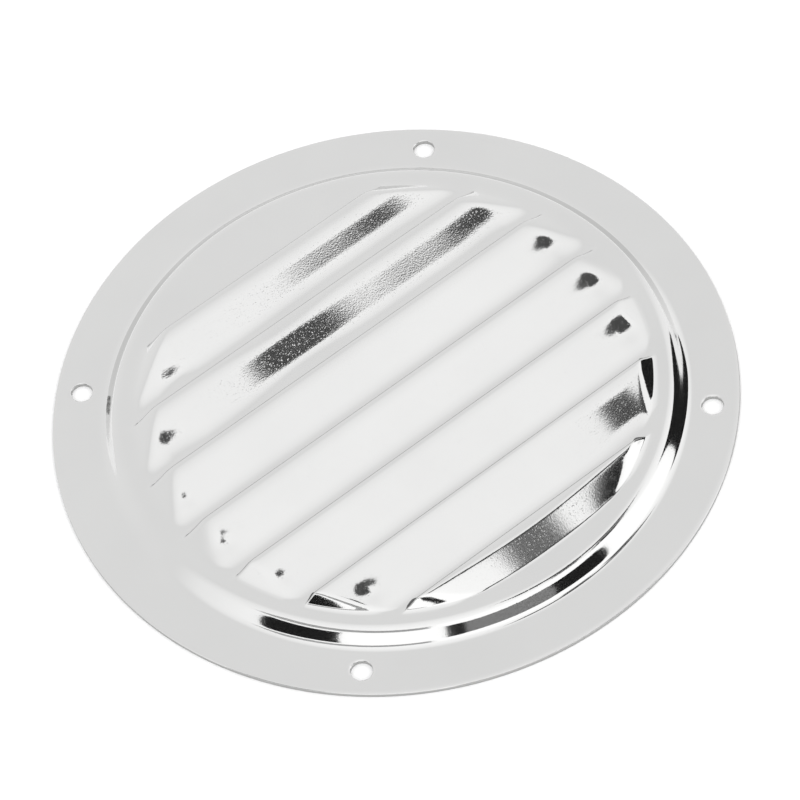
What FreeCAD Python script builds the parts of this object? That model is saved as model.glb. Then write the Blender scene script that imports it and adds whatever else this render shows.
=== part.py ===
"""Round louvred vent cover, pressed from one disc of stainless sheet.

Frame: the back of the flange lies on z = 0 with its centre at the origin, and +Z points out of the wall.
The louvres run along X. Their open lips face -Y, which is down once the cover is on a wall.
"""
import FreeCAD, Part
import math
import os
import Sketcher

DRIVING_SIZES = (
    ("disc_d", 127.0, "outer diameter of the cover"),
    ("gauge", 0.8, "thickness of the sheet"),
    ("rim_break", 0.2, "bevel that takes the sharpness off the rim's front edge"),
    ("flange_width", 8.5, "flat flange, from the rim to the foot of the step"),
    ("hole_d", 4.0, "screw hole"),
    ("hole_inset", 4.9, "rim to the centre of a screw hole"),
    ("hole_turn", 46.2, "angle from the louvres to the first screw hole, in degrees"),
    ("field_height", 2.8, "front of the raised field above the front of the flange"),
    ("wall_angle", 50.0, "steepness of the step, in degrees"),
    ("foot_radius", 1.6, "hollow bend at the foot of the step, on the front"),
    ("brow_radius", 2.2, "rounded bend at the top of the step, on the front"),
    ("lance_inset", 7.0, "foot of the step to the circle that the slits end on"),
    ("pitch", 13.0, "one slit to the next"),
    ("edge_land", 8.0, "least distance from an outer slit to the slits' circle"),
    ("land", 1.0, "flat strip between the foot of a hood and the next slit"),
    ("end_land", 1.8, "least distance from the foot of the last hood to the slits' circle"),
    ("lip_height", 1.8, "lip of a hood above the field"),
    ("hollow_share", 0.45, "share of a hood's width that is hollow, next to its toe"),
    ("lip_end_slope", 39.0, "slope of a hood's ends at its lip, in degrees"),
    ("toe_end_slope", 20.0, "slope of a hood's ends at its toe, in degrees"),
    ("end_round", 0.8, "rounding where a hood's top meets its ends"),
    ("lance_gap", 0.2, "width of a slit"),
    ("toe_depth", 0.1, "depth to which the toe of a hood runs into the field"),
)
HOLE_COUNT = 4
SLANT = 0.1  # least outward and upward lean of a face that counts as a hood's sloping end

START, END, CENTRE = range(1, 4)
H_AXIS, V_AXIS = range(-1, -3, -1)
ORIGIN = H_AXIS


def vector(x, y, z=0.0):
    return FreeCAD.Vector(x, y, z)


def make_sheet(doc):
    """The driving dimensions, one aliased cell each, with what each one is beside it."""
    sheet = doc.addObject("Spreadsheet::Sheet", "sizes")
    for row, (alias, value, meaning) in enumerate(DRIVING_SIZES, start=1):
        sheet.set(f"A{row}", str(value))
        sheet.setAlias(f"A{row}", alias)
        sheet.set(f"B{row}", meaning)
    doc.recompute()
    return sheet


def louvre_steps(sheet):
    """Places of the slits as whole pitches from the centre line, as many as fit on the slits' circle."""
    lance_r = sheet.disc_d / 2 - sheet.flange_width - sheet.lance_inset
    each_side = int((lance_r - sheet.edge_land) // sheet.pitch)
    return range(-each_side, each_side + 1)


def make_worked_sizes(doc, steps):
    """Sizes that follow from the driving ones: the slits' circle, and each hood's lip and width."""
    worked = doc.addObject("Spreadsheet::Sheet", "worked")
    rules = [
        ("lance_r", "=sizes.disc_d / 2 - sizes.flange_width - sizes.lance_inset"),
        ("field_top", "=sizes.gauge + sizes.field_height"),
        ("block_height", "=sizes.gauge + sizes.lip_height"),
    ]
    for number, step in enumerate(steps, start=1):
        lip = f"({step}) * sizes.pitch"
        room = f"lance_r - sizes.end_land - {lip}"
        rules.append((f"lip_{number}", f"={lip}"))
        rules.append((f"hood_{number}", f"=min(sizes.pitch - sizes.land; {room})"))
        rules.append((f"toe_{number}", f"=lip_{number} + hood_{number}"))
        rules.append((f"lip_half_{number}", f"=sqrt(lance_r ^ 2 - lip_{number} ^ 2)"))
        rules.append((f"toe_half_{number}", f"=sqrt(lance_r ^ 2 - toe_{number} ^ 2)"))
    for row, (alias, rule) in enumerate(rules, start=1):
        worked.set(f"A{row}", rule)
        worked.setAlias(f"A{row}", alias)
    doc.recompute()
    return worked


def origin_plane(body, role):
    return next(item for item in body.Origin.OriginFeatures if item.Role == role)


def attach(sketch, body, role):
    sketch.AttachmentSupport = [(origin_plane(body, role), "")]
    sketch.MapMode = "FlatFace"


def line(sketch, start, end):
    return sketch.addGeometry(Part.LineSegment(start, end), False)


def arc(sketch, centre, radius, from_deg, to_deg):
    """An arc that runs anticlockwise, so its start is at from_deg."""
    circle = Part.Circle(centre, vector(0, 0, 1), radius)
    return sketch.addGeometry(
        Part.ArcOfCircle(circle, math.radians(from_deg), math.radians(to_deg)), False)


def tie(sketch, kind, *places):
    return sketch.addConstraint(Sketcher.Constraint(kind, *places))


def measure(sketch, kind, places, value, rule):
    """A dimension that starts at its value and then follows its rule."""
    index = tie(sketch, kind, *places, value)
    sketch.setExpression(f"Constraints[{index}]", rule)


def on_circle(centre, radius, degrees):
    turn = math.radians(degrees)
    return centre + vector(radius * math.cos(turn), radius * math.sin(turn))


def draw_pressed_section(sketch, sheet):
    """Half section of the sheet from the axis to the rim: field, brow, step, foot, flange and rim."""
    rim_r = sheet.disc_d / 2
    gauge = sheet.gauge
    foot_r = rim_r - sheet.flange_width
    top = gauge + sheet.field_height
    slope = math.radians(sheet.wall_angle)
    bends = sheet.foot_radius + sheet.brow_radius
    rise = sheet.field_height - bends * (1 - math.cos(slope))
    foot_centre = vector(foot_r, gauge + sheet.foot_radius)
    brow_r = foot_r - bends * math.sin(slope) - rise / math.tan(slope)
    brow_centre = vector(brow_r, top - sheet.brow_radius)
    rim_break = sheet.rim_break
    foot_turn = 270 - sheet.wall_angle
    brow_turn = 90 - sheet.wall_angle

    flange_back = line(sketch, vector(rim_r, 0), vector(foot_r, 0))
    foot_back = arc(sketch, foot_centre, sheet.foot_radius + gauge, foot_turn, 270)
    wall_back = line(
        sketch,
        on_circle(foot_centre, sheet.foot_radius + gauge, foot_turn),
        on_circle(brow_centre, sheet.brow_radius - gauge, brow_turn))
    brow_back = arc(sketch, brow_centre, sheet.brow_radius - gauge, brow_turn, 90)
    field_back = line(sketch, vector(brow_r, top - gauge), vector(0, top - gauge))
    middle = line(sketch, vector(0, top - gauge), vector(0, top))
    field_front = line(sketch, vector(0, top), vector(brow_r, top))
    brow_front = arc(sketch, brow_centre, sheet.brow_radius, brow_turn, 90)
    wall_front = line(
        sketch,
        on_circle(foot_centre, sheet.foot_radius, foot_turn),
        on_circle(brow_centre, sheet.brow_radius, brow_turn))
    foot_front = arc(sketch, foot_centre, sheet.foot_radius, foot_turn, 270)
    flange_front = line(sketch, vector(foot_r, gauge), vector(rim_r - rim_break, gauge))
    bevel = line(sketch, vector(rim_r - rim_break, gauge), vector(rim_r, gauge - rim_break))
    rim = line(sketch, vector(rim_r, gauge - rim_break), vector(rim_r, 0))

    tie(sketch, "Tangent", flange_back, END, foot_back, END)
    tie(sketch, "Tangent", foot_back, START, wall_back, START)
    tie(sketch, "Tangent", wall_back, END, brow_back, START)
    tie(sketch, "Tangent", brow_back, END, field_back, START)
    tie(sketch, "Coincident", field_back, END, middle, START)
    tie(sketch, "Coincident", middle, END, field_front, START)
    tie(sketch, "Tangent", field_front, END, brow_front, END)
    tie(sketch, "Tangent", brow_front, START, wall_front, END)
    tie(sketch, "Tangent", wall_front, START, foot_front, START)
    tie(sketch, "Tangent", foot_front, END, flange_front, START)
    tie(sketch, "Coincident", flange_front, END, bevel, START)
    tie(sketch, "Coincident", bevel, END, rim, START)
    tie(sketch, "Coincident", rim, END, flange_back, START)
    for level in (flange_back, field_back, field_front, flange_front):
        tie(sketch, "Horizontal", level)
    for upright in (middle, rim):
        tie(sketch, "Vertical", upright)
    tie(sketch, "PointOnObject", field_back, END, V_AXIS)
    tie(sketch, "PointOnObject", flange_back, START, H_AXIS)
    tie(sketch, "Coincident", foot_back, CENTRE, foot_front, CENTRE)
    tie(sketch, "Coincident", brow_back, CENTRE, brow_front, CENTRE)

    measure(sketch, "DistanceX", (ORIGIN, START, rim, END), rim_r, "sizes.disc_d / 2")
    measure(sketch, "DistanceX", (foot_front, END, rim, END), sheet.flange_width, "sizes.flange_width")
    measure(sketch, "Radius", (foot_front,), sheet.foot_radius, "sizes.foot_radius")
    measure(sketch, "Radius", (foot_back,), sheet.foot_radius + gauge, "sizes.foot_radius + sizes.gauge")
    measure(sketch, "Radius", (brow_front,), sheet.brow_radius, "sizes.brow_radius")
    measure(sketch, "Radius", (brow_back,), sheet.brow_radius - gauge, "sizes.brow_radius - sizes.gauge")
    measure(sketch, "DistanceY", (ORIGIN, START, middle, END), top, "worked.field_top")
    measure(sketch, "DistanceX", (bevel, START, bevel, END), rim_break, "sizes.rim_break")
    measure(sketch, "DistanceY", (bevel, END, bevel, START), rim_break, "sizes.rim_break")
    measure(sketch, "Angle", (wall_front,), math.pi - slope, "(180 - sizes.wall_angle) * 1 deg")


def make_pressed_disc(doc, sheet):
    """The sheet before its slits: the section turned about the axis, then the ring of screw holes."""
    body = doc.addObject("PartDesign::Body", "pressed_disc")
    section = body.newObject("Sketcher::SketchObject", "pressed_section")
    attach(section, body, "XZ_Plane")
    draw_pressed_section(section, sheet)
    press = body.newObject("PartDesign::Revolution", "press")
    press.Profile = section
    press.ReferenceAxis = (section, ["V_Axis"])
    press.Angle = 360
    doc.recompute()

    hole_sketch = body.newObject("Sketcher::SketchObject", "hole_circle")
    attach(hole_sketch, body, "XY_Plane")
    turn = math.radians(sheet.hole_turn)
    hole_r = sheet.disc_d / 2 - sheet.hole_inset
    centre = vector(hole_r * math.cos(turn), hole_r * math.sin(turn))
    hole = hole_sketch.addGeometry(Part.Circle(centre, vector(0, 0, 1), sheet.hole_d / 2), False)
    measure(hole_sketch, "Diameter", (hole,), sheet.hole_d, "sizes.hole_d")
    across = "(sizes.disc_d / 2 - sizes.hole_inset)"
    measure(hole_sketch, "DistanceX", (ORIGIN, START, hole, CENTRE), centre.x,
            f"{across} * cos(sizes.hole_turn * 1 deg)")
    measure(hole_sketch, "DistanceY", (ORIGIN, START, hole, CENTRE), centre.y,
            f"{across} * sin(sizes.hole_turn * 1 deg)")
    pierce = body.newObject("PartDesign::Pocket", "pierce")
    pierce.Profile = hole_sketch
    pierce.Type = "ThroughAll"
    pierce.Reversed = True
    doc.recompute()

    ring = body.newObject("PartDesign::PolarPattern", "hole_ring")
    ring.Originals = [pierce]
    ring.Axis = (hole_sketch, ["N_Axis"])
    ring.Angle = 360
    ring.Occurrences = HOLE_COUNT
    body.Tip = ring
    doc.recompute()
    return body


def draw_ogee(sketch, sheet, worked, number):
    """Cross-section of a hood: level at the lip, rolling over, then hollowing out to its toe in the field.

    The sketch's own zero lies on the hood form's base, half a gauge below the field's front.
    """
    lip_y = worked.get(f"lip_{number}")
    width = worked.get(f"hood_{number}")
    toe_z = sheet.gauge / 2 - sheet.toe_depth
    lip_z = sheet.gauge / 2 + sheet.lip_height
    slope = 2 * math.atan((lip_z - toe_z) / width)
    hollow_run = width * sheet.hollow_share
    roll_r = (width - hollow_run) / math.sin(slope)
    hollow_r = hollow_run / math.sin(slope)
    toe_y = lip_y + width

    lip = line(sketch, vector(lip_y, 0), vector(lip_y, lip_z))
    roll = arc(sketch, vector(lip_y, lip_z - roll_r), roll_r, 90 - math.degrees(slope), 90)
    hollow = arc(sketch, vector(toe_y, toe_z + hollow_r), hollow_r, 270 - math.degrees(slope), 270)
    toe = line(sketch, vector(toe_y, toe_z), vector(toe_y, 0))
    base = line(sketch, vector(toe_y, 0), vector(lip_y, 0))

    tie(sketch, "Perpendicular", lip, END, roll, END)
    tie(sketch, "Tangent", roll, START, hollow, START)
    tie(sketch, "Perpendicular", hollow, END, toe, START)
    tie(sketch, "Coincident", toe, END, base, START)
    tie(sketch, "Coincident", base, END, lip, START)
    tie(sketch, "Vertical", lip)
    tie(sketch, "Vertical", toe)
    tie(sketch, "PointOnObject", base, START, H_AXIS)
    tie(sketch, "PointOnObject", base, END, H_AXIS)
    measure(sketch, "DistanceX", (ORIGIN, START, lip, START), lip_y, f"worked.lip_{number}")
    measure(sketch, "DistanceX", (base, END, base, START), width, f"worked.hood_{number}")
    measure(sketch, "DistanceY", (lip, START, lip, END), lip_z, "sizes.gauge / 2 + sizes.lip_height")
    measure(sketch, "DistanceY", (toe, END, toe, START), toe_z, "sizes.gauge / 2 - sizes.toe_depth")
    measure(sketch, "DistanceX", (hollow, START, hollow, END), hollow_run,
            f"worked.hood_{number} * sizes.hollow_share")


def draw_end_section(sketch, sheet, worked, half, slope):
    """Cross-cut of the block that gives a hood its length: a trapezium that narrows upwards.

    half names the worked half length, taken at the field's front, and slope the driving angle of its sides.
    """
    lean = 1 / math.tan(math.radians(sheet.get(slope)))
    lean_rule = f"1 / tan(sizes.{slope} * 1 deg)"
    foot = worked.get(half) + lean * sheet.gauge / 2
    foot_rule = f"worked.{half} + sizes.gauge / 2 * {lean_rule}"
    height = worked.block_height
    crest = foot - lean * height

    base = line(sketch, vector(-foot, 0), vector(foot, 0))
    right = line(sketch, vector(foot, 0), vector(crest, height))
    top = line(sketch, vector(crest, height), vector(-crest, height))
    left = line(sketch, vector(-crest, height), vector(-foot, 0))
    sides = (base, right, top, left)
    for side, after in zip(sides, sides[1:] + sides[:1]):
        tie(sketch, "Coincident", side, END, after, START)
    tie(sketch, "Symmetric", base, START, base, END, V_AXIS)
    tie(sketch, "Symmetric", top, START, top, END, V_AXIS)
    tie(sketch, "PointOnObject", base, START, H_AXIS)
    measure(sketch, "DistanceX", (base, START, base, END), 2 * foot, f"2 * ({foot_rule})")
    measure(sketch, "DistanceX", (top, END, top, START), 2 * crest,
            f"2 * ({foot_rule} - worked.block_height * {lean_rule})")
    measure(sketch, "DistanceY", (base, START, top, END), height, "worked.block_height")


def is_sloping_end(face):
    """True for a hood's end, which leans both outwards and upwards."""
    u_low, u_high, v_low, v_high = face.ParameterRange
    normal = face.normalAt((u_low + u_high) / 2, (v_low + v_high) / 2)
    return abs(normal.x) > SLANT and normal.z > SLANT


def creases(shape):
    """Names of the edges where a sloping end meets the rolled top."""
    names = []
    for index, edge in enumerate(shape.Edges, start=1):
        faces = shape.ancestorsOfType(edge, Part.Face)
        rolled = any(isinstance(face.Surface, Part.Cylinder) for face in faces)
        if rolled and any(is_sloping_end(face) for face in faces):
            names.append(f"Edge{index}")
    return names


def make_hood(doc, sheet, worked, number):
    """The raised form of one louvre: an ogee bar cut to length by sloping ends, with its corners rolled."""
    ends = doc.addObject("PartDesign::Body", f"hood_ends_{number}")
    cuts = []
    for place, slope in (("lip", "lip_end_slope"), ("toe", "toe_end_slope")):
        cut = ends.newObject("Sketcher::SketchObject", f"{place}_cut_{number}")
        attach(cut, ends, "XZ_Plane")
        cut.setExpression("AttachmentOffset.Base.y", "worked.field_top - sizes.gauge / 2")
        cut.setExpression("AttachmentOffset.Base.z", f"-worked.{place}_{number}")
        draw_end_section(cut, sheet, worked, f"{place}_half_{number}", slope)
        cuts.append(cut)
    doc.recompute()
    block = ends.newObject("PartDesign::AdditiveLoft", f"hood_block_{number}")
    block.Profile = cuts[0]
    block.Sections = cuts[1:]
    block.Ruled = True
    doc.recompute()

    body = doc.addObject("PartDesign::Body", f"hood_form_{number}")
    section = body.newObject("Sketcher::SketchObject", f"hood_ogee_{number}")
    attach(section, body, "YZ_Plane")
    section.setExpression("AttachmentOffset.Base.y", "worked.field_top - sizes.gauge / 2")
    draw_ogee(section, sheet, worked, number)
    bar = body.newObject("PartDesign::Pad", f"hood_bar_{number}")
    bar.Profile = section
    bar.Midplane = True
    bar.setExpression("Length", "sizes.disc_d")
    doc.recompute()
    cut = body.newObject("PartDesign::Boolean", f"hood_cut_{number}")
    cut.Type = "Common"
    cut.setObjects([ends])
    body.Tip = cut
    doc.recompute()
    corners = body.newObject("PartDesign::Fillet", f"hood_corners_{number}")
    corners.Base = (cut, creases(cut.Shape))
    corners.setExpression("Radius", "sizes.end_round")
    body.Tip = corners
    doc.recompute()
    return body


def make_cover(doc, disc, hoods):
    """Hoods raised on the disc, then hollowed by the same forms set a gauge deeper and a slit's width on."""
    raised = doc.addObject("Part::MultiFuse", "raised")
    raised.Shapes = [disc] + hoods
    hollows = doc.addObject("Part::Compound", "hollows")
    hollows.Links = hoods
    hollows.setExpression("Placement.Base.y", "-sizes.lance_gap")
    hollows.setExpression("Placement.Base.z", "-sizes.gauge")
    cover = doc.addObject("Part::Cut", "vent_cover")
    cover.Base = raised
    cover.Tool = hollows
    doc.recompute()
    return cover


def check(doc, parts):
    for item in doc.Objects:
        if "Invalid" in item.State or "Error" in item.State:
            raise RuntimeError(f"{item.Name} failed: {item.State}")
    for part in parts:
        if part.Shape.isNull() or not part.Shape.isValid():
            raise RuntimeError(f"{part.Label} has no valid shape")
        if len(part.Shape.Solids) != 1:
            raise RuntimeError(f"{part.Label} is {len(part.Shape.Solids)} solids, not one")


def main():
    doc = FreeCAD.newDocument("vent_cover")
    sheet = make_sheet(doc)
    steps = louvre_steps(sheet)
    worked = make_worked_sizes(doc, steps)
    disc = make_pressed_disc(doc, sheet)
    hoods = [make_hood(doc, sheet, worked, number) for number in range(1, len(steps) + 1)]
    cover = make_cover(doc, disc, hoods)
    parts = [cover]
    check(doc, parts)
    os.makedirs("parts", exist_ok=True)
    for part in parts:
        part.Shape.exportStep(f"parts/{part.Label}.step")
        print(part.Label, "volume", round(part.Shape.Volume, 1), "faces", len(part.Shape.Faces))


main()
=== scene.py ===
"""Round louvred vent cover: its polished sheet and a small photo stage, laid out as an add-on.

A flat blank with its slits and screw holes is cut in code. A Geometry Nodes tree then presses the step,
forms the louvres by rule and gives the sheet its gauge. All lengths are in metres.
"""
import math

import bmesh
import bpy
from bpy.props import FloatProperty, FloatVectorProperty, IntProperty, PointerProperty
from mathutils import Matrix, Vector


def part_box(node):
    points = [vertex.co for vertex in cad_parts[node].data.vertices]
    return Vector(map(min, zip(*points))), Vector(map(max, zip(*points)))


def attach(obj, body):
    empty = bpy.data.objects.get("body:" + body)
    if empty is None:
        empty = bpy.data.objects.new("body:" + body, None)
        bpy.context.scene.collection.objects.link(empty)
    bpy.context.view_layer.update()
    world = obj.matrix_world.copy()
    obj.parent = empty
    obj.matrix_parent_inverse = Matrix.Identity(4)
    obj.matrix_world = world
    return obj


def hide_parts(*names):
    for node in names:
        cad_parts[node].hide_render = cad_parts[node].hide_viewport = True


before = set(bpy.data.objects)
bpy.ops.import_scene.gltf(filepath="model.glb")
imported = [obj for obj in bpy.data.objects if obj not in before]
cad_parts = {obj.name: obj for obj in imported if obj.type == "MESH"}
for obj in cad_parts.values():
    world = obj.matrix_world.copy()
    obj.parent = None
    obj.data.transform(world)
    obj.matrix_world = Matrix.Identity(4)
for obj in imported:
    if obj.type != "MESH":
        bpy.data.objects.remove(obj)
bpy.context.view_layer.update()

bl_info = {
    "name": "Round louvred vent cover",
    "version": (1, 0, 0),
    "blender": (4, 5, 0),
    "location": "3D View > Sidebar > Vent cover",
    "description": "Builds a pressed and louvred round vent cover and the stage it is shown on",
    "category": "Add Mesh",
}

MM = 0.001
NODE_LOW, NODE_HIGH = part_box("vent_cover")
RIM_RADIUS = min(-NODE_LOW.x, NODE_HIGH.x, NODE_HIGH.y)

# Mesh steps of the blank: rows, as turns round the field's edge, and columns along a row
HOOD_STEP = math.radians(0.75)
PLAIN_STEP = math.radians(1.3)
HOLE_STEP = math.radians(0.4)
MIDDLE_COLUMNS = 30
END_COLUMNS = 18
LAND_COLUMNS = 3
END_ZONE = 6.5 * MM
# Most of a hood's half length that its end zone takes, and least of a half row that counts as hood
END_ZONE_SHARE = 0.55
HOOD_SHARE = 0.6
# Points closer than this are one place, and the blank's points within the weld's reach are joined
SAME_PLACE = 1e-7
WELD_REACH = 20 * SAME_PLACE
# Rows over a lip's rolled edge, in lip rounds, and how far from the slit the ordinary rows start
LIP_STEPS = (0.0, 0.08, 0.3, 0.62, 1.0)
LIP_CLEAR = 1.25
# Slit widths over which a slit narrows at its ends
SLIT_TAPER = 4
# Rings round a screw hole in hole radii: its softened edge, and the square block that they fade into
HOLE_LIP_STEPS = (1.0, 1.02, 1.075)
HOLE_BLOCK = 1.5
# Mesh steps outwards over each part of the ring
BROW_STEPS = 8
WALL_STEPS = 3
FOOT_STEPS = 7
FLANGE_STEPS = 2
BLOCK_STEPS = 3
HOLE_ACROSS_STEPS = 9
RIM_STEPS = 4
SMOOTH_ANGLE = math.radians(52)

# Places where a hood is drawn in more steeply: louvre, place and reach along it in mm, how much narrower,
# how much of that lies at the lip, and how much crisper its bends are
DRAWN_IN = (
    (-3, 0, 200, 0.05, 0.4, 0.0),
    (-2, 0, 200, 0.02, 0.4, 0.0),
    (1, 0, 200, -0.02, 0.5, 0.15),
    (2, 0, 200, -0.05, 0.5, 0.3),
    (-3, -24, 8, 0.09, 0.5, -0.3),
    (-3, -8, 16, 0.105, 0.5, -0.3),
    (-2, 7.5, 11.5, 0.34, 0.5, 0.0),
    (-2, -20, 16, 0.15, 0.5, -0.1),
    (-2, -34, 6, 0.12, 0.5, -0.1),
    (2, -28, 6, 0.05, 0.0, -0.5),
    (3, 0, 19, 0.24, 1.3, 0.8),
)
# Small dents that the press leaves near the hoods' ends: louvre, place along it and from its lip, reach
# and depth, all in mm
DENTS = (
    (-2, -36.5, 7.4, 2.2, 0.20),
    (-1, -41.5, 7.6, 2.2, 0.27),
    (0, -42.3, 7.1, 2.1, 0.26),
    (1, -39.6, 6.2, 2.3, 0.30),
    (-3, 28.0, 9.4, 2.0, 0.26),
    (-2, 37.4, 8.2, 2.1, 0.28),
    (-1, 43.0, 7.2, 1.3, 0.105),
    (0, 43.4, 6.7, 1.8, 0.165),
    (1, 40.0, 6.4, 1.2, 0.08),
    (2, 30.8, 6.6, 2.0, 0.21),
)
# Last hood: its height beside the others', and the length and bluntness of the lens that is its foot
LAST_HEIGHT = 0.9
LENS_LENGTH = 1.03
LENS_POWER = 3
# Louvre with the steepest ends, counted from the middle one. They get gentler from there to the middle
STEEPEST_LOUVRE = 2
# A point this little before a lip still counts as on its hood
LIP_SLACK = 0.01 * MM
# Louvres are told apart by whole numbers
HALF_STEP = 0.5
# Height of a hood, in lip rounds, from which its lip's edge is rolled in full
LIP_FADE = 2
# Where grain comes from: a hood's height, its strain, and the strain for each metre of a dent's depth
RAISED_GRAIN = 0.04
STRAIN_GRAIN = 2.2
DENT_STRAIN = 500

# Clouds in the polish
CLOUD_SCALE = 60
CLOUD_DETAIL = 3
CLOUD_BLUR = 0.04
# How far an edge has dropped where its cut face starts to show, and the further drop that shows it in full
SHEARED_FROM = 0.03 * MM
SHEARED_OVER = 0.09 * MM
SHEARED_BLUR = 0.25
# The same for the painted shade: near black on the lips' rolled edges and a little on the rim and holes,
# standing in for the shade under each lip
PAINTED_SHADE_FROM = 0.13 * MM
PAINTED_SHADE_OVER = 0.1 * MM
# Grain of the drawn sheet: fineness, share that is everywhere, and level and gain of its specks
GRAIN_SCALE = 3600
GRAIN_DETAIL = 2
GRAIN_EVERYWHERE = 0.06
SPECK_LEVEL = 0.64
SPECK_GAIN = 8

FLOOR_ROUGHNESS = 0.9

# Tent's light from its far side to behind the camera: place from -1 to 1, and share of the brightest
TENT_GLOW = (
    (-1.0, 0.70),
    (-0.56, 0.675),
    (-0.45, 0.66),
    (-0.30, 0.77),
    (-0.04, 0.85),
    (0.13, 0.875),
    (0.30, 0.92),
    (0.45, 1.0),
)

# Cards round the tent: name, turn from and to, rise from and to in degrees, and shade
FLAG_DISTANCE = 1.2
FLAG_COLUMNS = 12
FLAGS = (
    ("flag_right", 3.5, 28.5, 2, 36, 0.012),
    ("flag_high", -6, 58, 44, 60, 0.42),
    ("flag_front", 63.5, 70, 2, 40, 0.012),
    ("flag_grey", 70, 101, 2, 38, 0.25),
    ("flag_back", 101, 121, 2, 36, 0.012),
    ("flag_left", 157, 187, 1, 34, 0.012),
)

# Cards over the object: name, two corners seen from above, and shade
OVER_HEIGHT = 1.1
OVER_CARDS = (
    ("flag_over", (-0.62, -0.05), (-0.17, 0.14), 0.07),
    ("flag_over_last", (-0.39, 0.14), (-0.28, 0.34), 0.15),
    ("flag_over_end", (-0.64, 0.17), (-0.47, 0.44), 0.015),
)

# Width of the camera's sensor in mm, and its axes, found from the rim's outline and the screw holes
SENSOR_WIDTH = 36
CAMERA_RIGHT = Vector((-0.7816, 0.6152, -0.1030))
CAMERA_DOWN = Vector((0.5509, 0.6032, -0.5767))
CAMERA_AHEAD = Vector((-0.2927, -0.5075, -0.8104))


def length_property(name, description, default):
    return FloatProperty(name=name, description=description, default=default, unit="LENGTH", precision=5)


def angle_property(name, description, default):
    return FloatProperty(
        name=name, description=description, default=math.radians(default), unit="ROTATION")


def factor_property(name, description, default):
    return FloatProperty(
        name=name, description=description, default=default, min=0, max=1, subtype="FACTOR")


def colour_property(name, description, default):
    return FloatVectorProperty(name=name, description=description, default=default, subtype="COLOR")


class VentCoverSizes(bpy.types.PropertyGroup):
    """Sizes of the pressed sheet."""
    rim_radius: length_property("Rim radius", "Centre to the rim", RIM_RADIUS)
    gauge: length_property("Gauge", "Thickness of the sheet", 0.8 * MM)
    edge_round: length_property("Edge round", "Softening of the rim, lips and holes", 0.15 * MM)
    lip_round: length_property("Lip round", "Rolled-over edge of a hood's lip", 0.65 * MM)
    flange_width: length_property("Flange width", "Rim to the foot of the step", 8.7 * MM)
    hole_radius: length_property("Hole radius", "Half a screw hole's width", 2.0 * MM)
    hole_inset: length_property("Hole inset", "Rim to the centre of a screw hole", 4.9 * MM)
    hole_turn: angle_property("Hole turn", "Louvres to the first screw hole", 46.2)
    hole_count: IntProperty(name="Holes", description="Screw holes round the flange", default=4, min=1)
    field_height: length_property("Field height", "Raised field above the flange", 2.5 * MM)
    wall_angle: angle_property("Wall angle", "Steepness of the step", 45)
    foot_radius: length_property("Foot radius", "Hollow bend at the foot of the step", 1.9 * MM)
    brow_radius: length_property("Brow radius", "Rounded bend at the top of the step", 2.5 * MM)
    lance_radius: length_property("Slit circle", "Circle that the slits end on", 48.0 * MM)
    lance_gap: length_property("Slit width", "Width of a slit", 0.2 * MM)
    pitch: length_property("Pitch", "One slit to the next", 13.0 * MM)
    louvres_each_side: IntProperty(
        name="Louvres each side", description="Louvres on each side of the middle one", default=3, min=0)
    land: length_property("Land", "Flat strip between a hood and the next slit", 1.0 * MM)
    end_land: length_property("End land", "Last hood's foot to the slit circle", 2.2 * MM)
    lip_height: length_property("Lip height", "Lip of a hood above the field", 2.05 * MM)
    roll_share: factor_property("Roll share", "Part of a hood's width that rolls over", 0.27)
    hollow_share: factor_property("Hollow share", "Part of a hood's width that is hollow", 0.24)
    lip_end_slope: angle_property("Lip end slope", "Slope of a hood's ends at its lip", 39)
    lip_end_ease: angle_property(
        "Lip end ease", "How much gentler those ends get with each louvre towards the middle", 7)
    left_end_extra: angle_property(
        "Left end extra", "How much steeper the steepest louvre's left end is", 9)
    toe_end_slope: angle_property("Toe end slope", "Slope of a hood's ends at its toe", 20)
    end_round: length_property("End round", "Softness where a hood's top meets its ends", 0.9 * MM)
    end_foot: length_property("End foot", "Softness at the foot of a hood's ends", 0.4 * MM)

    def foot_start(self):
        return self.rim_radius - self.flange_width

    def bend_runs(self):
        """How far brow, wall and foot each reach outwards."""
        slope = self.wall_angle
        brow = self.brow_radius * math.sin(slope)
        foot = self.foot_radius * math.sin(slope)
        rise = self.field_height - (self.brow_radius + self.foot_radius) * (1 - math.cos(slope))
        return brow, rise / math.tan(slope), foot

    def field_radius(self):
        """Radius of the flat field, where the brow starts."""
        return self.foot_start() - sum(self.bend_runs())

    def hole_circle(self):
        return self.rim_radius - self.hole_inset

    def hole_turns(self):
        return [self.hole_turn + index * math.tau / self.hole_count for index in range(self.hole_count)]

    def slits(self):
        side = self.louvres_each_side
        return [step * self.pitch for step in range(-side, side + 1)]


class VentCoverFinish(bpy.types.PropertyGroup):
    """Look of the polished steel."""
    steel: colour_property("Steel", "Colour of the polished face", (0.70, 0.70, 0.695))
    steel_shade: colour_property(
        "Steel shade", "Colour of the slightly duller clouds", (0.66, 0.66, 0.657))
    sheared: colour_property("Sheared edge", "Colour of the cut edges", (0.50, 0.50, 0.495))
    # Painted shade: a near-black colour on the lips' rolled edges, standing in for the shade in the gap
    # under each lip
    shadowed: colour_property("Torn edge", "Colour of the lips' torn edges", (0.12, 0.12, 0.12))
    roughness: factor_property("Roughness", "Blur of the polish", 0.07)
    peel: length_property("Peel", "Depth of the grain where the sheet is drawn", 0.018 * MM)


class VentCoverStage(bpy.types.PropertyGroup):
    """Floor, light and camera."""
    floor_colour: colour_property("Floor", "Colour of the floor", (0.95, 0.95, 0.95))
    floor_size: length_property("Floor size", "Width of the floor", 6.0)
    camera_place: FloatVectorProperty(
        name="Camera", description="Where the camera stands", default=(0.2290, 0.3991, 0.6366),
        subtype="TRANSLATION", unit="LENGTH")
    tent_light: FloatProperty(name="Tent light", description="Brightest light of the tent", default=1.5)
    lens: FloatProperty(name="Lens", description="Focal length in millimetres", default=192.14)


# The blank

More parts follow.
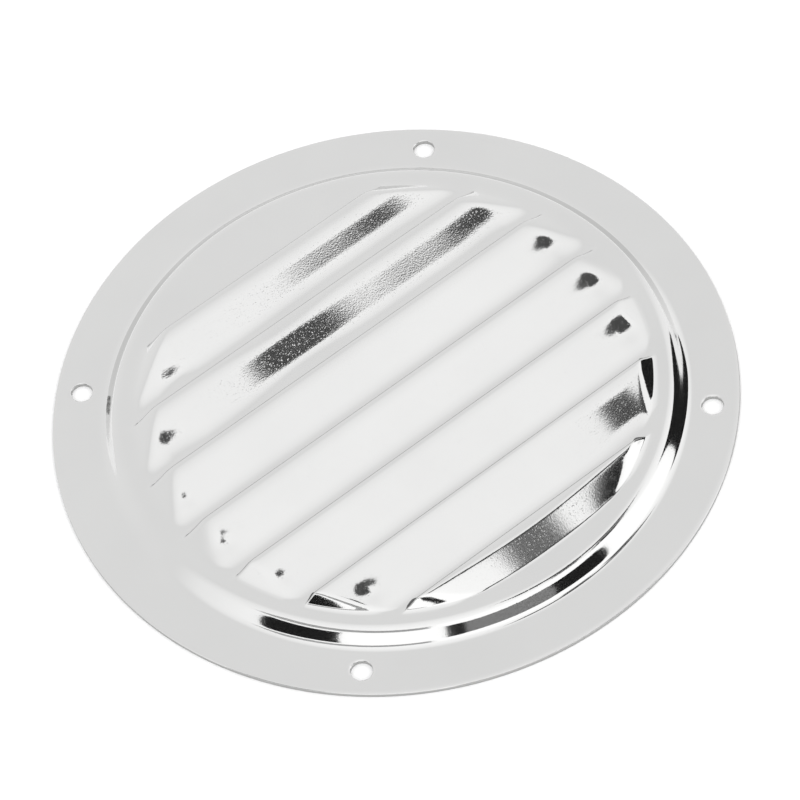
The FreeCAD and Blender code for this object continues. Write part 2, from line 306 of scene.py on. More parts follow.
def split(low, high, step):
    """Values from low up to, but without, high, in equal steps no longer than step."""
    count = max(1, math.ceil((high - low) / step - SAME_PLACE))
    return [low + (high - low) * index / count for index in range(count)]


def field_angles(sizes):
    """Angles at which the blank's rows meet the edge of the field, from the bottom to the top."""
    radius = sizes.field_radius()
    slits = [math.asin(slit / radius) for slit in sizes.slits()]
    last_toe = math.asin((sizes.lance_radius - sizes.end_land) / radius)
    reach = sizes.hole_radius / sizes.hole_circle()
    hole_marks = []
    for turn in sizes.hole_turns():
        level = math.asin(math.sin(turn))
        for ring in HOLE_LIP_STEPS + (HOLE_BLOCK,):
            hole_marks += [level - ring * reach, level + ring * reach]
    marks = sorted(set(slits + hole_marks + [-math.pi / 2, last_toe, math.pi / 2]))
    angles = []
    for low, high in zip(marks, marks[1:]):
        if high - low < SAME_PLACE:
            continue
        middle = (low + high) / 2
        by_hole = any(abs(abs(middle) - abs(level)) < HOLE_STEP for level in hole_marks)
        in_hoods = slits[0] < middle < last_toe
        step = HOLE_STEP if by_hole else HOOD_STEP if in_hoods else PLAIN_STEP
        angles += split(low, high, step)
    return angles + [math.pi / 2]


def row_columns(sizes, level):
    """Places along a row at that level: land, hood end, middle, hood end, land."""
    edge = math.sqrt(max(sizes.field_radius() ** 2 - level ** 2, 0))
    hood = math.sqrt(max(sizes.lance_radius ** 2 - level ** 2, 0))
    hood = max(hood, HOOD_SHARE * edge)
    inner = hood - min(END_ZONE, END_ZONE_SHARE * hood)
    right = [inner * index / (MIDDLE_COLUMNS / 2) for index in range(MIDDLE_COLUMNS // 2)]
    right += [inner + (hood - inner) * index / END_COLUMNS for index in range(END_COLUMNS)]
    right += [hood + (edge - hood) * index / LAND_COLUMNS for index in range(LAND_COLUMNS + 1)]
    return [-place for place in reversed(right[1:])] + right


def field_rows(sizes):
    """Rows of points across the field, and after which rows a slit parts the sheet."""
    radius = sizes.field_radius()
    slits = sizes.slits()
    rows = []
    parted = set()
    for angle in field_angles(sizes):
        level = radius * math.sin(angle)
        if any(SAME_PLACE < level - slit < LIP_CLEAR * sizes.lip_round for slit in slits):
            continue
        columns = row_columns(sizes, level)
        slit = next((place for place in slits if abs(place - level) < SAME_PLACE), None)
        if slit is not None:
            half = math.sqrt(sizes.lance_radius ** 2 - slit ** 2)
            lower = []
            for place in columns:
                share = min(max((half - abs(place)) / (SLIT_TAPER * sizes.lance_gap), 0), 1)
                lower.append((place, slit - sizes.lance_gap * share))
            rows.append(lower)
            parted.add(len(rows) - 1)
            for part in LIP_STEPS:
                lip_level = slit + part * sizes.lip_round
                rows.append([(place, lip_level) for place in row_columns(sizes, lip_level)])
        else:
            rows.append([(place, level) for place in columns])
    return rows, parted


def ring_radii(sizes):
    """Radii of the ring outside the field: brow, wall, foot, flange with its hole blocks, and rim."""
    brow, wall, foot = sizes.bend_runs()
    start = sizes.field_radius()
    circle = sizes.hole_circle()
    rings = HOLE_LIP_STEPS + (HOLE_BLOCK,)
    inner_steps = (BLOCK_STEPS, 1, 1, HOLE_ACROSS_STEPS)
    outer_steps = (1, 1, BLOCK_STEPS, FLANGE_STEPS)
    marks = [
        (start, BROW_STEPS),
        (start + brow, WALL_STEPS),
        (start + brow + wall, FOOT_STEPS),
        (start + brow + wall + foot, FLANGE_STEPS),
    ]
    marks += [(circle - ring * sizes.hole_radius, count) for ring, count in zip(rings[::-1], inner_steps)]
    marks += [(circle + ring * sizes.hole_radius, count) for ring, count in zip(rings, outer_steps)]
    marks += [(sizes.rim_radius - sizes.edge_round, RIM_STEPS), (sizes.rim_radius, 1)]
    radii = []
    for (low, count), (high, _) in zip(marks, marks[1:]):
        radii += [low + (high - low) * index / count for index in range(count)]
    return radii + [sizes.rim_radius]


def ring_point(sizes, radius, angle):
    """Place of a ring point, drawn on to a circle near a screw hole, and whether it lies in the hole."""
    place = Vector((radius * math.cos(angle), radius * math.sin(angle)))
    circle = sizes.hole_circle()
    hole = sizes.hole_radius
    for turn in sizes.hole_turns():
        off = (angle - turn + math.pi) % math.tau - math.pi
        along = off * circle
        out = radius - circle
        reach = max(abs(along), abs(out))
        if reach > hole * HOLE_BLOCK:
            continue
        if reach < hole - SAME_PLACE:
            return place, True
        radial = Vector((math.cos(turn), math.sin(turn)))
        tangent = Vector((-radial.y, radial.x))
        way = Vector((along, out)).normalized() * reach
        rounded = radial * (circle + way.y) + tangent * way.x
        share = (reach - hole) / (hole * (HOLE_BLOCK - 1))
        return rounded.lerp(place, min(max(share, 0), 1)), False
    return place, False


def cut_blank(sizes):
    """Flat mesh of the sheet with its slits and screw holes, with rows that follow the louvres."""
    mesh = bmesh.new()
    rows, parted = field_rows(sizes)
    lines = [[mesh.verts.new((x, y, 0)) for x, y in row] for row in rows]
    for index, (lower, upper) in enumerate(zip(lines, lines[1:])):
        if index in parted:
            continue
        for a, b, c, d in zip(lower, lower[1:], upper[1:], upper):
            mesh.faces.new((a, b, c, d))

    edge_angles = []
    for index, row in enumerate(rows):
        if index not in parted:
            x, y = row[-1]
            edge_angles.append(math.atan2(y, x))
    edge_angles += [math.pi - angle for angle in reversed(edge_angles[1:-1])]
    radii = ring_radii(sizes)
    rings = []
    for angle in edge_angles:
        spoke = []
        for radius in radii:
            place, inside = ring_point(sizes, radius, angle)
            spoke.append(None if inside else mesh.verts.new((place.x, place.y, 0)))
        rings.append(spoke)
    for spoke, after in zip(rings, rings[1:] + rings[:1]):
        for corners in zip(spoke, spoke[1:], after[1:], after):
            if None in corners or in_hole(sizes, corners):
                continue
            mesh.faces.new(corners)
    bmesh.ops.remove_doubles(mesh, verts=mesh.verts[:], dist=WELD_REACH)
    bmesh.ops.recalc_face_normals(mesh, faces=mesh.faces[:])
    result = bpy.data.meshes.new("blank")
    mesh.to_mesh(result)
    mesh.free()
    return result


def in_hole(sizes, corners):
    """True where all corners of a face lie on one screw hole's edge, so that it would cover the hole."""
    reach = sizes.hole_radius + 2 * SAME_PLACE
    for turn in sizes.hole_turns():
        centre = Vector((math.cos(turn), math.sin(turn), 0)) * sizes.hole_circle()
        if all((corner.co - centre).length < reach for corner in corners):
            return True
    return False


# Node trees

def feed(tree, socket, value):
    """Links a socket to value, or sets it where value is a plain one."""
    if isinstance(value, bpy.types.NodeSocket):
        tree.links.new(value, socket)
    else:
        socket.default_value = value


def calc(tree, operation, *values):
    """Result of one maths node on sockets or plain numbers."""
    node = tree.nodes.new("ShaderNodeMath")
    node.operation = operation
    for socket, value in zip(node.inputs, values):
        feed(tree, socket, value)
    return node.outputs[0]


def clamp(tree, value, low, high):
    return calc(tree, "MINIMUM", calc(tree, "MAXIMUM", value, low), high)


def distance(tree, x, y):
    square = calc(tree, "ADD", calc(tree, "MULTIPLY", x, x), calc(tree, "MULTIPLY", y, y))
    return calc(tree, "SQRT", square)


def half_chord(tree, radius, level):
    """Half the length of a circle's chord at that level."""
    level_square = calc(tree, "MULTIPLY", level, level)
    square = calc(tree, "SUBTRACT", calc(tree, "MULTIPLY", radius, radius), level_square)
    return calc(tree, "SQRT", calc(tree, "MAXIMUM", square, 0))


def arc_drop(tree, radius, run):
    """How far an arc of that radius has turned away after that run from where it is level."""
    return calc(tree, "SUBTRACT", radius, half_chord(tree, radius, run))


def add_input(tree, kind, name):
    tree.interface.new_socket(name=name, in_out="INPUT", socket_type=kind)


PRESS_LENGTHS = (
    "rim_radius", "gauge", "edge_round", "lip_round", "flange_width", "field_height", "foot_radius",
    "brow_radius", "lance_radius", "pitch", "land", "end_land", "lip_height", "end_round", "end_foot",
    "hole_radius", "hole_inset")
PRESS_FACTORS = (
    "wall_angle", "roll_share", "hollow_share", "lip_end_slope", "lip_end_ease", "left_end_extra",
    "toe_end_slope", "hole_turn")
PRESS_COUNTS = ("louvres_each_side", "hole_count")


def step_height(tree, given, radius):
    """Height of the pressed disc above its flange at that radius."""
    slope_sin = calc(tree, "SINE", given["wall_angle"])
    slope_cos = calc(tree, "COSINE", given["wall_angle"])
    slope_tan = calc(tree, "TANGENT", given["wall_angle"])
    turned = calc(tree, "SUBTRACT", 1, slope_cos)
    brow_run = calc(tree, "MULTIPLY", given["brow_radius"], slope_sin)
    foot_run = calc(tree, "MULTIPLY", given["foot_radius"], slope_sin)
    foot_rise = calc(tree, "MULTIPLY", given["foot_radius"], turned)
    brow_rise = calc(tree, "MULTIPLY", given["brow_radius"], turned)
    wall_rise = calc(tree, "SUBTRACT", given["field_height"], calc(tree, "ADD", foot_rise, brow_rise))
    wall_run = calc(tree, "DIVIDE", wall_rise, slope_tan)
    foot_end = calc(tree, "SUBTRACT", given["rim_radius"], given["flange_width"])
    foot_start = calc(tree, "SUBTRACT", foot_end, foot_run)
    wall_start = calc(tree, "SUBTRACT", foot_start, wall_run)
    brow_start = calc(tree, "SUBTRACT", wall_start, brow_run)

    over_brow = clamp(tree, calc(tree, "SUBTRACT", radius, brow_start), 0, brow_run)
    down_wall = clamp(tree, calc(tree, "SUBTRACT", radius, wall_start), 0, wall_run)
    left_of_foot = clamp(tree, calc(tree, "SUBTRACT", foot_end, radius), 0, foot_run)
    height = calc(tree, "SUBTRACT", given["field_height"], arc_drop(tree, given["brow_radius"], over_brow))
    height = calc(tree, "SUBTRACT", height, calc(tree, "MULTIPLY", down_wall, slope_tan))
    height = calc(tree, "SUBTRACT", height, foot_rise)
    return calc(tree, "ADD", height, arc_drop(tree, given["foot_radius"], left_of_foot))


def bell(tree, offset, reach):
    """1 where the offset is zero, fading smoothly to 0 on both sides."""
    ratio = calc(tree, "DIVIDE", offset, reach)
    return calc(tree, "EXPONENT", calc(tree, "MULTIPLY", calc(tree, "MULTIPLY", ratio, ratio), -1))


def eased(tree, run, bend):
    """Run that starts gently over the length of a bend and then grows evenly."""
    start = clamp(tree, run, 0, bend)
    gentle = calc(tree, "DIVIDE", calc(tree, "MULTIPLY", start, start), calc(tree, "MULTIPLY", bend, 2))
    return calc(tree, "ADD", gentle, calc(tree, "MAXIMUM", calc(tree, "SUBTRACT", run, bend), 0))


def on_louvre(tree, step, louvre):
    """1 on that louvre and 0 on the others."""
    return calc(tree, "COMPARE", step, louvre, HALF_STEP)


def foot_width(tree, given, lip, x):
    """Width of a hood's foot: even, apart from the last one, which is a blunt lens."""
    longest = half_chord(tree, given["lance_radius"], calc(tree, "MAXIMUM", lip, 0))
    half_lip = calc(tree, "MULTIPLY", longest, LENS_LENGTH)
    out = clamp(tree, calc(tree, "DIVIDE", calc(tree, "ABSOLUTE", x), half_lip), 0, 1)
    blunt = calc(tree, "SQRT", calc(tree, "SUBTRACT", 1, calc(tree, "POWER", out, LENS_POWER)))
    last_toe = calc(tree, "SUBTRACT", given["lance_radius"], given["end_land"])
    most = calc(tree, "SUBTRACT", last_toe, lip)
    usual = calc(tree, "SUBTRACT", given["pitch"], given["land"])
    return clamp(tree, calc(tree, "MULTIPLY", most, blunt), MM, usual)


def draw_in(tree, step, x, from_lip, width):
    """Way past the lip, width, crispness of the bends and strain of a hood, once it is drawn in."""
    past_lip = from_lip
    crispness = 0
    strain = 0
    for louvre, place, reach, narrower, shift, crisper in DRAWN_IN:
        fade = bell(tree, calc(tree, "SUBTRACT", x, place * MM), reach * MM)
        amount = calc(tree, "MULTIPLY", on_louvre(tree, step, louvre), fade)
        crispness = calc(tree, "MULTIPLY_ADD", amount, crisper, crispness)
        strain = calc(tree, "MULTIPLY_ADD", amount, max(narrower, 0) * (1 - crisper), strain)
        taken = calc(tree, "MULTIPLY", calc(tree, "MULTIPLY", amount, narrower), width)
        past_lip = calc(tree, "SUBTRACT", past_lip, calc(tree, "MULTIPLY", taken, shift))
        width = calc(tree, "SUBTRACT", width, taken)
    return past_lip, width, crispness, strain


def ogee_height(tree, given, step, past_lip, width, crispness):
    """Height of a hood's section: level at its lip, rolling over to a flank, then hollow to its toe."""
    bent = calc(tree, "MULTIPLY", width, calc(tree, "SUBTRACT", 1, crispness))
    roll = calc(tree, "MULTIPLY", bent, given["roll_share"])
    hollow = calc(tree, "MULTIPLY", bent, given["hollow_share"])
    half_bends = calc(tree, "DIVIDE", calc(tree, "ADD", roll, hollow), 2)
    is_last = on_louvre(tree, step, given["louvres_each_side"])
    beside = calc(tree, "MULTIPLY_ADD", is_last, LAST_HEIGHT - 1, 1)
    full = calc(tree, "MULTIPLY", given["lip_height"], beside)
    fall = calc(tree, "DIVIDE", full, calc(tree, "SUBTRACT", width, half_bends))
    past_flank = calc(tree, "SUBTRACT", past_lip, calc(tree, "SUBTRACT", width, hollow))
    run = calc(tree, "SUBTRACT", eased(tree, past_lip, roll), eased(tree, past_flank, hollow))
    return calc(tree, "SUBTRACT", full, calc(tree, "MULTIPLY", fall, run))


def end_height(tree, given, step, x, y, share):
    """Height that a hood's sloping ends leave, that share of the way from its lip to its toe."""
    chord = half_chord(tree, given["lance_radius"], y)
    inwards = calc(tree, "SUBTRACT", chord, calc(tree, "ABSOLUTE", x))
    before = clamp(tree, calc(tree, "SUBTRACT", STEEPEST_LOUVRE, step), 0, STEEPEST_LOUVRE)
    gentler = calc(tree, "MULTIPLY", before, given["lip_end_ease"])
    is_left = calc(tree, "GREATER_THAN", x, 0)
    is_steep = calc(tree, "MULTIPLY", is_left, on_louvre(tree, step, STEEPEST_LOUVRE))
    extra = calc(tree, "MULTIPLY", is_steep, given["left_end_extra"])
    lip_slope = calc(tree, "ADD", calc(tree, "SUBTRACT", given["lip_end_slope"], gentler), extra)
    toe_slope = calc(tree, "ADD", given["toe_end_slope"], extra)
    lip_lean = calc(tree, "DIVIDE", 1, calc(tree, "TANGENT", lip_slope))
    toe_lean = calc(tree, "DIVIDE", 1, calc(tree, "TANGENT", toe_slope))
    lean = calc(tree, "MULTIPLY_ADD", share, calc(tree, "SUBTRACT", toe_lean, lip_lean), lip_lean)
    return calc(tree, "SMOOTH_MAX", calc(tree, "DIVIDE", inwards, lean), 0, given["end_foot"])


def dented(tree, step, x, from_lip):
    """Depth of the small dents near the hoods' ends."""
    depth = 0
    for louvre, place, away, reach, deepest in DENTS:
        along = bell(tree, calc(tree, "SUBTRACT", x, place * MM), reach * MM)
        across = bell(tree, calc(tree, "SUBTRACT", from_lip, away * MM), reach * MM)
        both = calc(tree, "MULTIPLY", along, across)
        dent = calc(tree, "MULTIPLY", both, on_louvre(tree, step, louvre))
        depth = calc(tree, "MULTIPLY_ADD", dent, deepest * MM, depth)
    return depth


def hood_height(tree, given, x, y):
    """Hoods' height above the field, how far a lip's edge is rolled down, and the sheet's strain."""
    step = calc(tree, "FLOOR", calc(tree, "DIVIDE", calc(tree, "ADD", y, LIP_SLACK), given["pitch"]))
    lip = calc(tree, "MULTIPLY", step, given["pitch"])
    from_lip = calc(tree, "MAXIMUM", calc(tree, "SUBTRACT", y, lip), 0)
    foot = foot_width(tree, given, lip, x)
    past_lip, width, crispness, strain = draw_in(tree, step, x, from_lip, foot)
    share = clamp(tree, calc(tree, "DIVIDE", past_lip, width), 0, 1)
    ogee = ogee_height(tree, given, step, past_lip, width, crispness)
    end = end_height(tree, given, step, x, y, share)
    whole = calc(tree, "SMOOTH_MIN", ogee, end, given["end_round"])

    dent = dented(tree, step, x, from_lip)
    strain = calc(tree, "MULTIPLY_ADD", dent, DENT_STRAIN, strain)
    past_last = calc(tree, "ADD", given["louvres_each_side"], HALF_STEP)
    is_louvre = calc(tree, "LESS_THAN", calc(tree, "ABSOLUTE", step), past_last)
    height = calc(tree, "MAXIMUM", calc(tree, "SUBTRACT", whole, dent), 0)
    height = calc(tree, "MULTIPLY", height, is_louvre)

    edge = clamp(tree, calc(tree, "SUBTRACT", given["lip_round"], from_lip), 0, given["lip_round"])
    full_roll = calc(tree, "MULTIPLY", given["lip_round"], LIP_FADE)
    rolled = clamp(tree, calc(tree, "DIVIDE", height, full_roll), 0, 1)
    lip_drop = calc(tree, "MULTIPLY", arc_drop(tree, given["lip_round"], edge), rolled)
    return height, lip_drop, strain


def hole_drop(tree, given, x, y):
    """How far the edge of a screw hole is rounded down at that place."""
    turn = calc(tree, "DIVIDE", math.tau, given["hole_count"])
    angle = calc(tree, "SUBTRACT", calc(tree, "ARCTAN2", y, x), given["hole_turn"])
    nearest = calc(tree, "MULTIPLY", calc(tree, "ROUND", calc(tree, "DIVIDE", angle, turn)), turn)
    angle = calc(tree, "ADD", nearest, given["hole_turn"])
    circle = calc(tree, "SUBTRACT", given["rim_radius"], given["hole_inset"])
    off_x = calc(tree, "SUBTRACT", x, calc(tree, "MULTIPLY", circle, calc(tree, "COSINE", angle)))
    off_y = calc(tree, "SUBTRACT", y, calc(tree, "MULTIPLY", circle, calc(tree, "SINE", angle)))
    outside = calc(tree, "SUBTRACT", distance(tree, off_x, off_y), given["hole_radius"])
    into = clamp(tree, calc(tree, "SUBTRACT", given["edge_round"], outside), 0, given["edge_round"])
    return arc_drop(tree, given["edge_round"], into)


def make_press_tree():
    """Tree that raises the flat blank: the step, the hoods, and the softened edges."""
    tree = bpy.data.node_groups.new("press_sheet", "GeometryNodeTree")
    add_input(tree, "NodeSocketGeometry", "blank")
    for name in PRESS_LENGTHS + PRESS_FACTORS:
        add_input(tree, "NodeSocketFloat", name)
    for name in PRESS_COUNTS:
        add_input(tree, "NodeSocketInt", name)
    add_input(tree, "NodeSocketMaterial", "steel")
    tree.interface.new_socket(name="sheet", in_out="OUTPUT", socket_type="NodeSocketGeometry")
    given = tree.nodes.new("NodeGroupInput").outputs
    position = tree.nodes.new("GeometryNodeInputPosition").outputs[0]
    parts = tree.nodes.new("ShaderNodeSeparateXYZ")
    feed(tree, parts.inputs[0], position)
    x, y = parts.outputs["X"], parts.outputs["Y"]
    radius = distance(tree, x, y)

    hood, lip_drop, strain = hood_height(tree, given, x, y)
    height = calc(tree, "ADD", calc(tree, "ADD", step_height(tree, given, radius), hood), given["gauge"])
    rim_start = calc(tree, "SUBTRACT", given["rim_radius"], given["edge_round"])
    past_rim = clamp(tree, calc(tree, "SUBTRACT", radius, rim_start), 0, given["edge_round"])
    rim_drop = arc_drop(tree, given["edge_round"], past_rim)
    edge_drop = calc(tree, "ADD", calc(tree, "ADD", rim_drop, lip_drop), hole_drop(tree, given, x, y))
    raised = calc(tree, "DIVIDE", hood, given["lip_height"])
    drawn = calc(tree, "MULTIPLY_ADD", raised, RAISED_GRAIN, calc(tree, "MULTIPLY", strain, STRAIN_GRAIN))
    marked = store(tree, store(tree, given["blank"], "drawn", drawn), "edge_drop", edge_drop)
    front = store(tree, move(tree, marked, x, y, height), "behind", 0)

    thick = tree.nodes.new("GeometryNodeExtrudeMesh")
    thick.mode = "FACES"
    feed(tree, thick.inputs["Mesh"], front)
    feed(tree, thick.inputs["Offset Scale"], calc(tree, "MULTIPLY", given["gauge"], -1))
    thick.inputs["Individual"].default_value = False
    back = store(tree, thick.outputs["Mesh"], "behind", thick.outputs["Top"])
    flip = tree.nodes.new("GeometryNodeFlipFaces")
    feed(tree, flip.inputs["Mesh"], back)
    both = tree.nodes.new("GeometryNodeJoinGeometry")
    feed(tree, both.inputs[0], flip.outputs["Mesh"])
    feed(tree, both.inputs[0], front)
    weld = tree.nodes.new("GeometryNodeMergeByDistance")
    feed(tree, weld.inputs["Geometry"], both.outputs[0])
    weld.inputs["Distance"].default_value = SAME_PLACE

    in_front = calc(tree, "SUBTRACT", 1, recall(tree, "behind"))
    dropped = calc(tree, "MULTIPLY", recall(tree, "edge_drop"), in_front)
    level = calc(tree, "SUBTRACT", parts.outputs["Z"], dropped)
    rolled = move(tree, weld.outputs["Geometry"], x, y, level)
    realize = tree.nodes.new("GeometryNodeRealizeInstances")
    feed(tree, realize.inputs["Geometry"], rolled)
    coat = tree.nodes.new("GeometryNodeSetMaterial")
    feed(tree, coat.inputs["Geometry"], realize.outputs["Geometry"])
    feed(tree, coat.inputs["Material"], given["steel"])
    feed(tree, tree.nodes.new("NodeGroupOutput").inputs[0], coat.outputs["Geometry"])
    return tree


def store(tree, geometry, name, value):
    """The geometry with value kept on its points under that name."""
    node = tree.nodes.new("GeometryNodeStoreNamedAttribute")
    node.data_type = "FLOAT"
    node.domain = "POINT"
    node.inputs["Name"].default_value = name
    feed(tree, node.inputs["Geometry"], geometry)
    feed(tree, node.inputs["Value"], value)
    return node.outputs["Geometry"]


def recall(tree, name):
    """The value kept under that name."""
    node = tree.nodes.new("GeometryNodeInputNamedAttribute")
    node.data_type = "FLOAT"
    node.inputs["Name"].default_value = name
    return node.outputs["Attribute"]


def move(tree, geometry, x, y, z):
    """The geometry with its points at x, y, z."""
    place = tree.nodes.new("ShaderNodeCombineXYZ")
    for socket, value in zip(place.inputs, (x, y, z)):
        feed(tree, socket, value)
    node = tree.nodes.new("GeometryNodeSetPosition")
    feed(tree, node.inputs["Geometry"], geometry)
    feed(tree, node.inputs["Position"], place.outputs[0])
    return node.outputs["Geometry"]


def press(blank, sizes, steel):
    """The finished sheet as a plain mesh: the blank as the tree presses it."""
    tree = make_press_tree()
    modifier = blank.modifiers.new("press", "NODES")
    modifier.node_group = tree
    for item in tree.interface.items_tree:
        if item.in_out == "INPUT" and hasattr(sizes, item.name):
            modifier[item.identifier] = getattr(sizes, item.name)
        elif item.name == "steel":
            modifier[item.identifier] = steel
    graph = bpy.context.evaluated_depsgraph_get()
    mesh = bpy.data.meshes.new_from_object(blank.evaluated_get(graph))
    blank.modifiers.clear()
    return mesh


# Materials

def new_material(name):
    """A material, and the shader in its node tree."""
    material = bpy.data.materials.new(name)
    material.use_nodes = True
    return material, material.node_tree.nodes["Principled BSDF"]


def noise(tree, place, scale, detail):
    node = tree.nodes.new("ShaderNodeTexNoise")
    feed(tree, node.inputs["Vector"], place)
    node.inputs["Scale"].default_value = scale
    node.inputs["Detail"].default_value = detail
    return node.outputs["Fac"]


def attribute(tree, name):
    """The value that the mesh keeps under that name."""
    node = tree.nodes.new("ShaderNodeAttribute")
    node.attribute_name = name
    return node.outputs["Fac"]


def mixed(tree, share, first, second):
    """Colour between two others, nearer to the second as the share grows."""
    node = tree.nodes.new("ShaderNodeMix")
    node.data_type = "RGBA"
    feed(tree, node.inputs["Factor"], share)
    feed(tree, node.inputs["A"], first)
    feed(tree, node.inputs["B"], second)
    return node.outputs["Result"]


def dropped_share(tree, drop, start, over):
    """How much of an edge's colour shows where it has dropped that far: its cut face, and the painted
    shade on the lips' rolled edges.
    """
    return clamp(tree, calc(tree, "MULTIPLY", calc(tree, "SUBTRACT", drop, start), 1 / over), 0, 1)


def make_steel(finish):
    """Mirror-polished stainless sheet with faint clouds, dull cut edges, painted shade at the lips, and
    grain where it is drawn.
    """
    material, shader = new_material("polished_steel")
    tree = material.node_tree
    shader.inputs["Metallic"].default_value = 1.0
    place = tree.nodes.new("ShaderNodeTexCoord").outputs["Object"]

    clouds = noise(tree, place, CLOUD_SCALE, CLOUD_DETAIL)
    colour = mixed(tree, clouds, (*finish.steel, 1), (*finish.steel_shade, 1))
    drop = attribute(tree, "edge_drop")
    sheared = dropped_share(tree, drop, SHEARED_FROM, SHEARED_OVER)
    colour = mixed(tree, sheared, colour, (*finish.sheared, 1))
    # Painted shade: the lips' rolled edges go near black for the shade under each lip, and the rim and
    # holes get a little of it
    shadowed = dropped_share(tree, drop, PAINTED_SHADE_FROM, PAINTED_SHADE_OVER)
    colour = mixed(tree, shadowed, colour, (*finish.shadowed, 1))
    feed(tree, shader.inputs["Base Color"], colour)

    smudge = calc(tree, "MULTIPLY_ADD", clouds, CLOUD_BLUR, finish.roughness - CLOUD_BLUR / 2)
    feed(tree, shader.inputs["Roughness"], calc(tree, "MULTIPLY_ADD", sheared, SHEARED_BLUR, smudge))

    grain = noise(tree, place, GRAIN_SCALE, GRAIN_DETAIL)
    specks = clamp(tree, calc(tree, "SUBTRACT", grain, SPECK_LEVEL), 0, 1)
    relief = calc(tree, "ADD", grain, calc(tree, "MULTIPLY", specks, SPECK_GAIN))
    drawn = attribute(tree, "drawn")
    depth = calc(tree, "MULTIPLY_ADD", drawn, 1 - GRAIN_EVERYWHERE, GRAIN_EVERYWHERE)
    bump = tree.nodes.new("ShaderNodeBump")
    bump.inputs["Distance"].default_value = finish.peel
    feed(tree, bump.inputs["Height"], calc(tree, "MULTIPLY", relief, depth))
    feed(tree, shader.inputs["Normal"], bump.outputs["Normal"])
    return material


def make_floor_material(stage):
    material, shader = new_material("floor_paper")
    shader.inputs["Base Color"].default_value = (*stage.floor_colour, 1)
    shader.inputs["Roughness"].default_value = FLOOR_ROUGHNESS
    return material


def make_cloth(name, shade):
    """Dull cloth of one grey."""
    material, shader = new_material(name)
    shader.inputs["Base Color"].default_value = (shade, shade, shade, 1)
    shader.inputs["Roughness"].default_value = 1
    shader.inputs["Specular IOR Level"].default_value = 0
    return material


# Operators

def link(name, data):
    piece = bpy.data.objects.new(name, data)
    bpy.context.scene.collection.objects.link(piece)
    return piece


class VENT_OT_press_sheet(bpy.types.Operator):
    """Cut, press and polish the vent cover's sheet"""
    bl_idname = "vent_cover.press_sheet"
    bl_label = "Press the sheet"

    def execute(self, context):
        sizes = context.scene.vent_cover_sizes
        steel = make_steel(context.scene.vent_cover_finish)
        blank = link("blank", cut_blank(sizes))
        mesh = press(blank, sizes, steel)
        bpy.data.objects.remove(blank)
        mesh.name = "pressed_sheet"
        mesh.shade_smooth()
        mesh.set_sharp_from_angle(angle=SMOOTH_ANGLE)
        sheet = link("pressed_sheet", mesh)
        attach(sheet, "root")
        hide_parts("vent_cover")
        return {"FINISHED"}


class VENT_OT_set_stage(bpy.types.Operator):
    """Lay the floor, light the tent and place the camera"""
    bl_idname = "vent_cover.set_stage"
    bl_label = "Set the stage"

    def execute(self, context):
        stage = context.scene.vent_cover_stage
        make_floor(stage)
        make_world(context.scene, stage)
        make_flags()
        make_camera(context.scene, stage)
        context.scene.view_settings.view_transform = "Standard"
        return {"FINISHED"}


def make_floor(stage):
    mesh = bpy.data.meshes.new("floor")
    half = stage.floor_size / 2
    corners = [(-half, -half, 0), (half, -half, 0), (half, half, 0), (-half, half, 0)]
    mesh.from_pydata(corners, [], [(0, 1, 2, 3)])
    mesh.materials.append(make_floor_material(stage))
    floor = link("floor", mesh)


def make_world(scene, stage):
    """Soft tent light: pale on the far side, brighter over and behind the camera."""
    world = bpy.data.worlds.new("tent")
    world.use_nodes = True
    tree = world.node_tree
    background = tree.nodes["Background"]
    way = tree.nodes.new("ShaderNodeSeparateXYZ")
    feed(tree, way.inputs[0], tree.nodes.new("ShaderNodeTexCoord").outputs["Generated"])
    level = calc(tree, "MULTIPLY_ADD", way.outputs["Y"], 0.5, 0.5)
    glow = tree.nodes.new("ShaderNodeValToRGB")
    feed(tree, glow.inputs["Fac"], level)
    ramp = glow.color_ramp
    ramp.interpolation = "LINEAR"
    while len(ramp.elements) < len(TENT_GLOW):
        ramp.elements.new(1)
    for stop, (place, share) in zip(ramp.elements, TENT_GLOW):
        stop.position = place / 2 + 0.5
        stop.color = (share, share, share, 1)
    strength = calc(tree, "MULTIPLY", glow.outputs["Color"], stage.tent_light)
    feed(tree, background.inputs["Strength"], strength)
    background.inputs["Color"].default_value = (1, 1, 1, 1)
    scene.world = world


def make_card(name, points, faces, material):
    """A card that is seen only in the polish."""
    mesh = bpy.data.meshes.new(name)
    mesh.from_pydata(points, [], faces)
    mesh.materials.append(material)
    card = link(name, mesh)
    card.visible_camera = False
    card.visible_diffuse = False
    card.visible_shadow = False


def make_flag(name, from_turn, to_turn, from_rise, to_rise, material):
    """A card that stands round the object."""
    points = []
    for rise in (from_rise, to_rise):
        lift = math.radians(rise)
        for index in range(FLAG_COLUMNS + 1):
            turn = math.radians(from_turn + (to_turn - from_turn) * index / FLAG_COLUMNS)
            way = (math.cos(turn) * math.cos(lift), math.sin(turn) * math.cos(lift), math.sin(lift))
            points.append(Vector(way) * FLAG_DISTANCE)
    row = FLAG_COLUMNS + 1
    faces = [(i, i + 1, row + i + 1, row + i) for i in range(FLAG_COLUMNS)]
    make_card(name, points, faces, material)


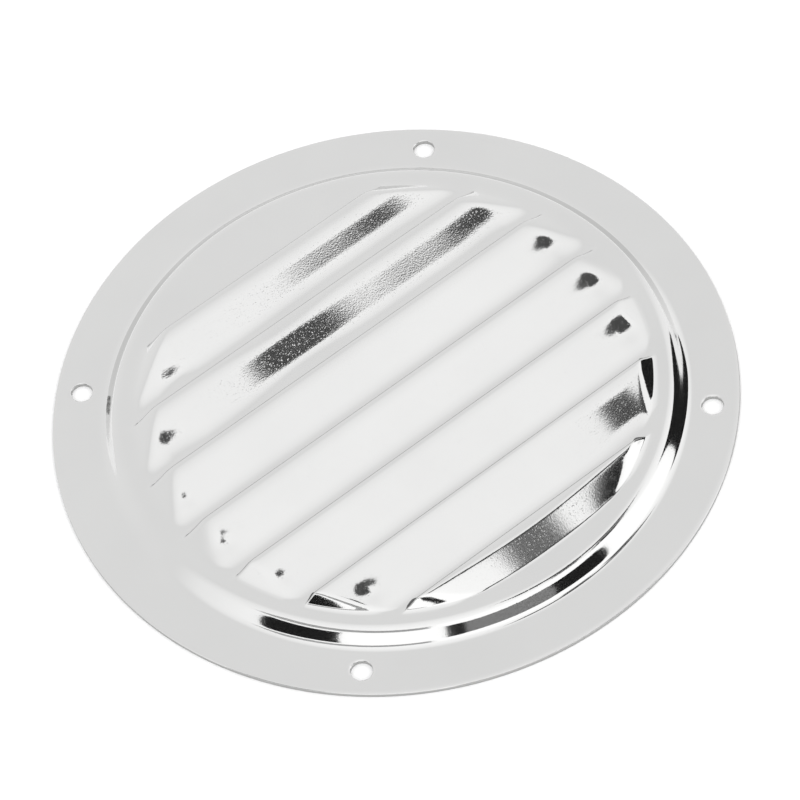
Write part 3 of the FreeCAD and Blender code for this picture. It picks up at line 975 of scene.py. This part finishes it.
def make_flags():
    for name, *reach, shade in FLAGS:
        make_flag(name, *reach, make_cloth(name + "_cloth", shade))
    for name, (low_x, low_y), (high_x, high_y), shade in OVER_CARDS:
        corners = [(low_x, low_y), (high_x, low_y), (high_x, high_y), (low_x, high_y)]
        points = [(x, y, OVER_HEIGHT) for x, y in corners]
        make_card(name, points, [(0, 1, 2, 3)], make_cloth(name + "_cloth", shade))


def make_camera(scene, stage):
    data = bpy.data.cameras.new("camera")
    data.sensor_width = SENSOR_WIDTH
    data.lens = stage.lens
    camera = link("camera", data)
    turn = Matrix((CAMERA_RIGHT, -CAMERA_DOWN, -CAMERA_AHEAD)).transposed().to_4x4()
    camera.matrix_world = Matrix.Translation(stage.camera_place) @ turn
    scene.camera = camera


class VENT_PT_panel(bpy.types.Panel):
    """Sidebar panel of the vent cover"""
    bl_label = "Vent cover"
    bl_idname = "VENT_PT_panel"
    bl_space_type = "VIEW_3D"
    bl_region_type = "UI"
    bl_category = "Vent cover"

    def draw(self, context):
        for operator in OPERATORS:
            self.layout.operator(operator.bl_idname)
        for group in (context.scene.vent_cover_sizes, context.scene.vent_cover_finish,
                      context.scene.vent_cover_stage):
            box = self.layout.box()
            for name in group.bl_rna.properties.keys():
                if name not in ("rna_type", "name"):
                    box.prop(group, name)


GROUPS = (VentCoverSizes, VentCoverFinish, VentCoverStage)
OPERATORS = (VENT_OT_press_sheet, VENT_OT_set_stage)


def register():
    for item in GROUPS + OPERATORS + (VENT_PT_panel,):
        bpy.utils.register_class(item)
    bpy.types.Scene.vent_cover_sizes = PointerProperty(type=VentCoverSizes)
    bpy.types.Scene.vent_cover_finish = PointerProperty(type=VentCoverFinish)
    bpy.types.Scene.vent_cover_stage = PointerProperty(type=VentCoverStage)


def unregister():
    del bpy.types.Scene.vent_cover_stage
    del bpy.types.Scene.vent_cover_finish
    del bpy.types.Scene.vent_cover_sizes
    for item in reversed(GROUPS + OPERATORS + (VENT_PT_panel,)):
        bpy.utils.unregister_class(item)


def main():
    register()
    bpy.ops.vent_cover.press_sheet()
    bpy.ops.vent_cover.set_stage()


if __name__ == "__main__":
    main()
